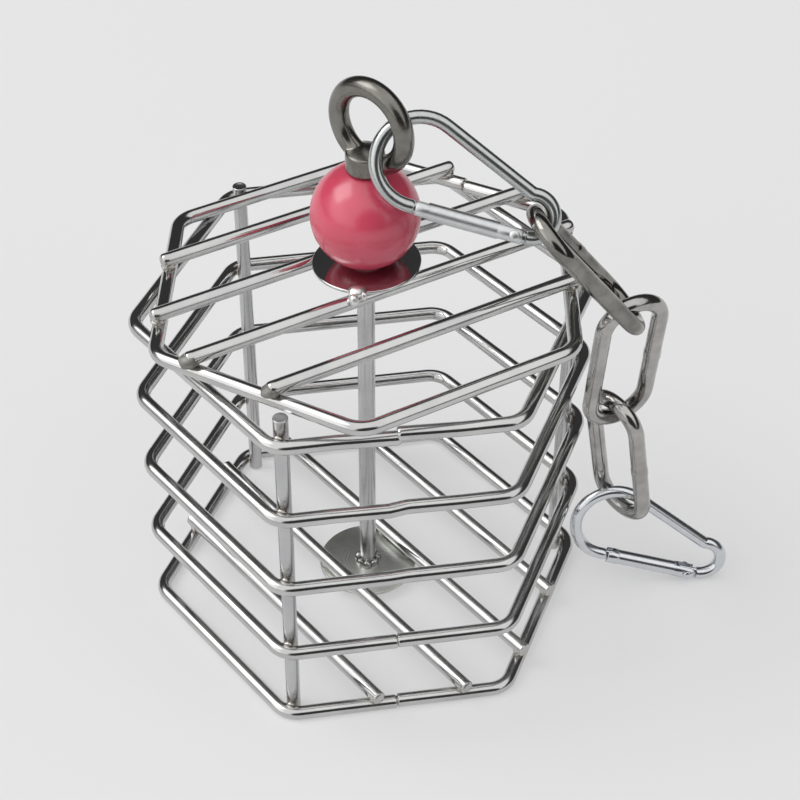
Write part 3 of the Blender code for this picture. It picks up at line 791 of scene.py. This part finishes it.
def build_bead(plastic):
    """Moulded ball with a drilled hole whose edges are broken."""
    radius = BEAD_DIAMETER / 2
    hole = BEAD_HOLE_DIAMETER / 2
    start = math.asin(hole / radius)
    shape = bmesh.new()
    top = shape.verts.new((hole, 0.0, radius * math.cos(start)))
    made = bmesh.ops.spin(shape, geom=[top], cent=(0, 0, 0), axis=(0, 1, 0), angle=math.pi - 2 * start,
                          steps=BEAD_STEPS)
    last = [item for item in made["geom_last"] if isinstance(item, bmesh.types.BMVert)][0]
    shape.edges.new((last, top))
    bmesh.ops.spin(shape, geom=list(shape.verts) + list(shape.edges), cent=(0, 0, 0), axis=(0, 0, 1),
                   angle=math.tau, steps=TURN_STEPS, use_merge=True)
    bmesh.ops.remove_doubles(shape, verts=shape.verts, dist=MERGE_DISTANCE)
    break_edges(shape, BEAD_EDGE)
    moved(shape, Matrix.Translation(middle_of("bead")))
    add_piece("drilled_ball", shape, plastic, "bead", ["bead"])


def build_eye_nut(steel):
    """Cast eye on a drilled collar, blended where they meet."""
    low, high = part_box("eye_nut")
    collar_z = low[2]
    eye_z = high[2] - EYE_OUTER_DIAMETER / 2
    radius = (EYE_OUTER_DIAMETER - EYE_TUBE_DIAMETER) / 2
    eye = bmesh.new()
    circle = bmesh.ops.create_circle(eye, segments=EYE_SIDES, radius=EYE_TUBE_DIAMETER / 2,
                                     matrix=Matrix.Translation((radius, 0, 0)))
    edges = BentWire.loop_edges(circle["verts"])
    bmesh.ops.spin(eye, geom=circle["verts"] + edges, cent=(0, 0, 0), axis=(0, 1, 0), angle=math.tau,
                   steps=TURN_STEPS, use_merge=True)
    bmesh.ops.remove_doubles(eye, verts=eye.verts, dist=MERGE_DISTANCE)
    bmesh.ops.recalc_face_normals(eye, faces=eye.faces)
    turn = Matrix.Rotation(EYE_HEADING, 4, "Z")
    moved(eye, Matrix.Translation(polar(EYE_OFFSET, EYE_HEADING, eye_z)) @ turn)
    edge = COLLAR_DIAMETER / 2
    dome = eye_z - radius + EYE_TUBE_DIAMETER / 2 + EYE_FOOT_WEB - collar_z - COLLAR_HEIGHT
    bore = SPINDLE_DIAMETER / 2 + BORE_GAP
    shares = [i / DOME_STEPS for i in range(DOME_STEPS + 1)]
    profile = [(edge * share, COLLAR_HEIGHT + dome * (1.0 - share ** DOME_FULLNESS)) for share in shares]
    profile += [(edge, -COLLAR_SKIRT), (bore, 0), (bore, EYE_BORE_DEPTH), (0, EYE_BORE_DEPTH)]
    collar = turned(profile, closed=False)
    bmesh.ops.recalc_face_normals(collar, faces=collar.faces)
    moved(collar, Matrix.Translation((0, 0, collar_z)))
    item = add_piece("cast_eye", joined([eye, collar]), steel, "eye_nut", ["eye_nut"])
    cast = item.modifiers.new("blend", "REMESH")
    cast.mode = "VOXEL"
    cast.voxel_size = CAST_GRAIN
    cast.use_smooth_shade = True
    soften = item.modifiers.new("soften", "SMOOTH")
    soften.factor = 0.5
    soften.iterations = CAST_SMOOTHING


def build_links(steels):
    """Welded links in their finishes, each with the slight swell of its butt weld on one leg."""
    bow = (LINK_INNER_WIDTH + LINK_WIRE) / 2
    leg = LINK_INNER_LENGTH + LINK_WIRE - 2 * bow
    weld = leg * LINK_WELD_SHARE
    for i, steel in enumerate(steels):
        wire = BentWire(DRAWN_LINK_WIRE, Matrix.Translation((-leg / 2, -bow, 0)), LINK_SIDES)
        wire.straight(leg).bend(bow, math.pi)
        wire.straight((leg - weld) / 2)
        for swell in LINK_WELD_SWELLS:
            wire.step(weld / len(LINK_WELD_SWELLS))
            wire.press(swell, swell)
        wire.straight((leg - weld) / 2).bend(bow, math.pi)
        node = f"chain_link_{i + 1}"
        link = moved(wire.join(), axes_of(node))
        add_piece(f"welded_link_{i + 1}", link, steel, f"link_{i + 1}", [node])


class HookPlan:
    """The lines of a snap hook about its wide bow's centre, with the narrow bow along X."""
    wide = (HOOK_WIDE_END - HOOK_WIRE) / 2
    narrow = (HOOK_NARROW_END - HOOK_WIRE) / 2
    centres = HOOK_LENGTH - HOOK_WIRE - wide - narrow
    taper = math.asin((wide - narrow) / centres)
    spine_taper = math.asin((wide - narrow + HOOK_SHOULDER) / centres)
    shoulder_turn = math.acos(1.0 - HOOK_SHOULDER / (narrow + SHOULDER_RADIUS))
    spine = centres * math.cos(spine_taper) - (narrow + SHOULDER_RADIUS) * math.sin(shoulder_turn)
    gate_line = Vector((math.cos(taper), math.sin(taper), 0.0))
    gate_side = Vector((math.sin(taper), -math.cos(taper), 0.0))
    tail = Vector((centres, 0.0, 0.0)) + gate_side * narrow
    pin = tail - gate_line * PIN_FROM_BOW
    nose = gate_side * wide + gate_line * NOSE_LENGTH


def hook_frame(hook):
    """Places of a hook's gate and of its wire: from the gate's joint, and the way that the gate points."""
    name = hook.replace("hook", "gate_open")
    joint = next(j for j in frame["record"]["behaviour"]["joints"] if j["name"] == name)
    pin = Vector(joint["pos_m"])
    normal = -Vector(joint["axis"]).normalized()
    gate = axes_of(f"{hook}_gate")
    along = gate.to_3x3() @ Vector((1, 0, 0))
    if along.dot(pin - gate.translation) < 0:
        along.negate()
    gate_frame = Matrix((along, normal.cross(along), normal)).transposed().to_4x4()
    gate_place = Matrix.Translation(pin) @ gate_frame
    turn = Matrix.Rotation(-HookPlan.taper, 4, "Z")
    return gate_place, gate_place @ turn @ Matrix.Translation(-HookPlan.pin)


def build_hook(hook, zinc, gate_zinc, steel):
    """Bent hook wire with flattened ends, forked gate, riveted pin and spring."""
    plan = HookPlan
    side = hook.split("_")[0]
    gate_place, place = hook_frame(hook)
    flat = (TONGUE_WIDTH / HOOK_WIRE, TONGUE_THICKNESS / HOOK_WIRE)
    half_flat = (HALF_PRESSED, HALF_PRESSED)
    start = (Matrix.Translation(plan.nose + plan.gate_line * NOSE_TONGUE_LENGTH)
             @ Matrix.Rotation(plan.taper + math.pi, 4, "Z"))
    wire = BentWire(HOOK_WIRE, start, HOOK_SIDES)
    wire.press(*flat).straight(NOSE_TONGUE_LENGTH)
    wire.step(FLATTEN_RUN / 4).press(*half_flat).step(FLATTEN_RUN).press(1.0, 1.0)
    wire.straight(NOSE_LENGTH - FLATTEN_RUN * 1.25)
    wire.bend(plan.wide, -(math.pi + plan.taper + plan.spine_taper))
    wire.straight(plan.spine)
    wire.bend(SHOULDER_RADIUS, plan.shoulder_turn)
    wire.bend(plan.narrow, -(math.pi - plan.taper - plan.spine_taper + plan.shoulder_turn))
    wire.step(FLATTEN_RUN / 4).press(*half_flat).step(FLATTEN_RUN / 4).press(*flat)
    wire.straight(TAIL_TONGUE_LENGTH - FLATTEN_RUN / 2)
    add_piece(f"{side}_hook_wire", moved(wire.cut(TONGUE_EDGE), place), zinc, hook,
              [f"{hook}_body"])
    build_gate(side, hook, gate_place, gate_zinc)
    add_piece(f"{side}_hook_rivet", moved(headed_rivet(), gate_place), gate_zinc, hook,
              [f"{hook}_gate_pin"])
    spring = frame["nodes"][f"{hook}_gate_spring"].data
    spring.materials.clear()
    spring.materials.append(steel)


def headed_rivet():
    """Rivet along Z with a bevelled head at each end, outside the gate's cheeks."""
    flat_top, bevel = PIN_CROWN
    under = GATE_DIAMETER / 2 + PIN_HEAD_GAP
    over = under + PIN_HEAD_HEIGHT
    head = PIN_HEAD_DIAMETER / 2
    shank = PIN_DIAMETER / 2
    upper = [(0, over), (head * flat_top, over), (head, over - PIN_HEAD_HEIGHT * bevel), (head, under),
             (shank, under)]
    lower = [(radius, -height) for radius, height in reversed(upper)]
    return break_edges(turned(upper + lower, steps=RIVET_STEPS, closed=False), RIVET_EDGE, segments=2)


def fork_cheek(start, end, side):
    """Half round cheek of a gate's fork, beside the slot, from start to end along X."""
    shape = bmesh.new()
    bmesh.ops.create_circle(shape, cap_ends=True, segments=FORK_SIDES, radius=GATE_DIAMETER / 2,
                            matrix=Matrix.Translation((start, 0, 0)) @ Matrix.Rotation(QUARTER, 4, "Y"))
    slot = TONGUE_THICKNESS / 2 + FORK_GAP
    bmesh.ops.bisect_plane(shape, geom=shape.verts[:] + shape.edges[:] + shape.faces[:],
                           plane_co=(0, 0, side * slot), plane_no=(0, 0, -side), clear_outer=True)
    made = bmesh.ops.extrude_face_region(shape, geom=shape.faces[:])["geom"]
    bmesh.ops.translate(shape, vec=(end - start, 0, 0),
                        verts=[item for item in made if isinstance(item, bmesh.types.BMVert)])
    return break_edges(shape, FORK_EDGE, segments=2)


def build_gate(side, hook, gate_place, zinc):
    """Round gate with a fork at each end; X runs along it from the nose to the tail, from its pin."""
    plan = HookPlan
    nose_start = plan.gate_side * plan.wide + plan.gate_line * (NOSE_LENGTH + NOSE_GAP)
    nose_end = -(plan.pin - nose_start).length
    tail_end = PIN_FROM_BOW - GATE_HEEL_GAP
    nose_fork = nose_end + NOSE_TONGUE_LENGTH + NOSE_GAP
    tail_fork = tail_end - TAIL_TONGUE_LENGTH - NOSE_GAP
    rod = straight_wire(Vector((nose_fork, 0, 0)), Vector((tail_fork, 0, 0)), GATE_DIAMETER)
    forks = ((nose_end, nose_fork + CHEEK_OVERLAP), (tail_fork - CHEEK_OVERLAP, tail_end))
    cheeks = [fork_cheek(start, end, face) for face in (-1, 1) for start, end in forks]
    add_piece(f"{side}_hook_gate_arm", moved(joined([rod] + cheeks), gate_place), zinc, f"{side}_gate",
              [f"{hook}_gate"])


def build_studio():
    """Pale floor, dark room with a bright ceiling and window, one large soft lamp and the camera."""
    scene = bpy.context.scene
    scene.view_settings.view_transform = "Standard"
    shape = bmesh.new()
    bmesh.ops.create_circle(shape, cap_ends=True, segments=FLOOR_SIDES, radius=FLOOR_RADIUS)
    mesh = bpy.data.meshes.new("studio_floor")
    shape.to_mesh(mesh)
    shape.free()
    mesh.materials.append(pale_floor())
    floor = bpy.data.objects.new("studio_floor", mesh)
    scene.collection.objects.link(floor)

    world = bpy.data.worlds.new("studio_room")
    world.use_nodes = True
    scene.world = world
    pen = Signal(world.node_tree)
    way = pen.node("ShaderNodeTexCoord", output="Generated")

    def toward(side, edge):
        """1 where the room lies this way."""
        facing = pen.node("ShaderNodeVectorMath", {"operation": "DOT_PRODUCT"}, {0: way, 1: side},
                          output="Value")
        return facing.between(*edge)

    height = pen.node("ShaderNodeSeparateXYZ", {}, {"Vector": way}, output="Z")
    ceiling = toward(CEILING_SIDE, CEILING_EDGE) * (1.0 - toward(CAMERA_SIDE, CAMERA_EDGE))
    window = toward(WINDOW_SIDE, WINDOW_EDGE)
    top_level = CEILING_LEVEL + WINDOW_LEVEL
    bright = ceiling * (CEILING_LEVEL / top_level) + window * (WINDOW_LEVEL / top_level)
    dark = DARK_LEVEL / top_level
    room = (bright * height.between(*HORIZON_EDGE)).tint((dark, dark, dark), (1.0, 1.0, 1.0))
    background = world.node_tree.nodes["Background"]
    world.node_tree.links.new(room.socket, background.inputs["Color"])
    background.inputs["Strength"].default_value = top_level

    lamp = bpy.data.lights.new("ceiling_softbox", "AREA")
    lamp.shape = "SQUARE"
    lamp.size = LAMP_SIZE
    lamp.energy = LAMP_POWER
    softbox = bpy.data.objects.new("ceiling_softbox", lamp)
    softbox.location = LAMP_PLACE
    softbox.rotation_euler = Vector(LAMP_PLACE).to_track_quat("Z", "Y").to_euler()
    scene.collection.objects.link(softbox)

    lens = bpy.data.cameras.new("camera")
    lens.lens = CAMERA_LENS
    lens.sensor_width = CAMERA_SENSOR
    camera = bpy.data.objects.new("camera", lens)
    turn = (Matrix.Rotation(CAMERA_HEADING, 4, "Z") @ Matrix.Rotation(QUARTER - CAMERA_ELEVATION, 4, "X")
            @ Matrix.Rotation(CAMERA_ROLL, 4, "Z"))
    camera.matrix_world = Matrix.Translation(CAMERA_PLACE) @ turn
    scene.collection.objects.link(camera)
    scene.camera = camera


def build():
    """Dress every part of the basket."""
    ring_steel = drawn_steel("ring_steel", (0.60, 0.60, 0.59), (0.52, 0.52, 0.52), 0.08, 0.18)
    rod_steel = drawn_steel("rod_steel", (0.57, 0.57, 0.57), (0.50, 0.50, 0.51), 0.16, 0.30)
    weld = {"plain": weld_metal("weld_metal", (0.66, 0.65, 0.62), (0.44, 0.41, 0.37), 0.20),
            "overheated": weld_metal("overheated_weld", (0.37, 0.365, 0.34), (0.26, 0.255, 0.235), 0.52),
            # near-white weld metal for the lid plate's one weld: a painted highlight, lighter than the other
            # welds
            "bright": weld_metal("painted_highlight_weld", (0.90, 0.90, 0.89), (0.82, 0.81, 0.79), 0.26),
            "glossy": weld_metal("glossy_weld", (0.50, 0.50, 0.48), (0.30, 0.30, 0.28), 0.02)}
    floor_plate = rolled_plate("dull_plate", (0.72, 0.73, 0.69), (0.52, 0.53, 0.50), 0.22, 0.36,
                               middle_of("floor_plate"))
    lid_plate = rolled_plate("mirror_plate", (0.60, 0.60, 0.60), (0.54, 0.54, 0.53), 0.04, 0.10,
                             middle_of("lid_plate"))
    build_basket(ring_steel, rod_steel, floor_plate, weld)
    build_lid(ring_steel, lid_plate, weld)
    build_bead(moulded_plastic(middle_of("bead")))
    build_eye_nut(tumbled_steel("cast_steel", (0.25, 0.243, 0.222), (0.19, 0.184, 0.166), 0.18, 0.28))
    plain_link = tumbled_steel("link_steel", (0.47, 0.461, 0.444), (0.36, 0.353, 0.338), 0.09, 0.18)
    # link 1 is the same steel as the others, painted darker: painted shade and dark reflection, not wear
    painted_shade_link = tumbled_steel("painted_shade_link_steel", (0.30, 0.292, 0.272), (0.19, 0.185, 0.169), 0.09, 0.18)
    build_links((painted_shade_link, plain_link, plain_link))
    steel = spring_steel()
    aged = zinc_plate("aged_zinc", (0.53, 0.55, 0.545), (0.48, 0.50, 0.495), 0.17)
    fresh = zinc_plate("fresh_zinc", (0.70, 0.72, 0.745), (0.66, 0.68, 0.708), 0.15)
    rubbed = zinc_plate("rubbed_zinc", (0.70, 0.715, 0.72), (0.65, 0.665, 0.67), 0.30)
    build_hook("upper_hook", aged, rubbed, steel)
    build_hook("lower_hook", fresh, fresh, steel)


build()
build_studio()
